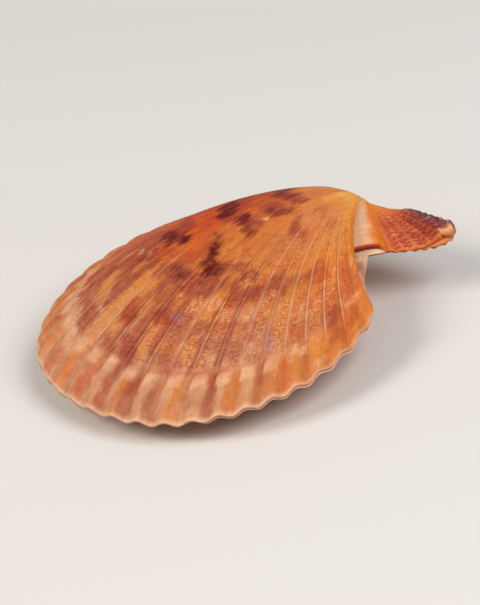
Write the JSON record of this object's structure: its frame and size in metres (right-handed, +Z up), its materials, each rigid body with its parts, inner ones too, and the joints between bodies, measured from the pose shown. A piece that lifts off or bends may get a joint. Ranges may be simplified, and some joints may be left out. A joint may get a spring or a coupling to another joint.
{
  "type": "scallop shell",
  "caption": "Closed scallop shell: a ribbed, gently domed pair of valves with a long front ear and a notch for the byssus, lying on its lower valve.",
  "frame": {"origin": "on the surface that the shell lies on, under the middle of its bounding box", "axes": "+Z up out of the upper valve; +Y from the lip towards the hinge; +X along the hinge towards the long front ear"},
  "size_m": [0.0712, 0.0758, 0.0209],
  "materials": {
    "right_valve": "satin",
    "left_valve": "satin"
  },
  "bodies": {
    "root": {"right_valve": "right_valve", "left_valve": "left_valve"}
  },
  "joints": []
}
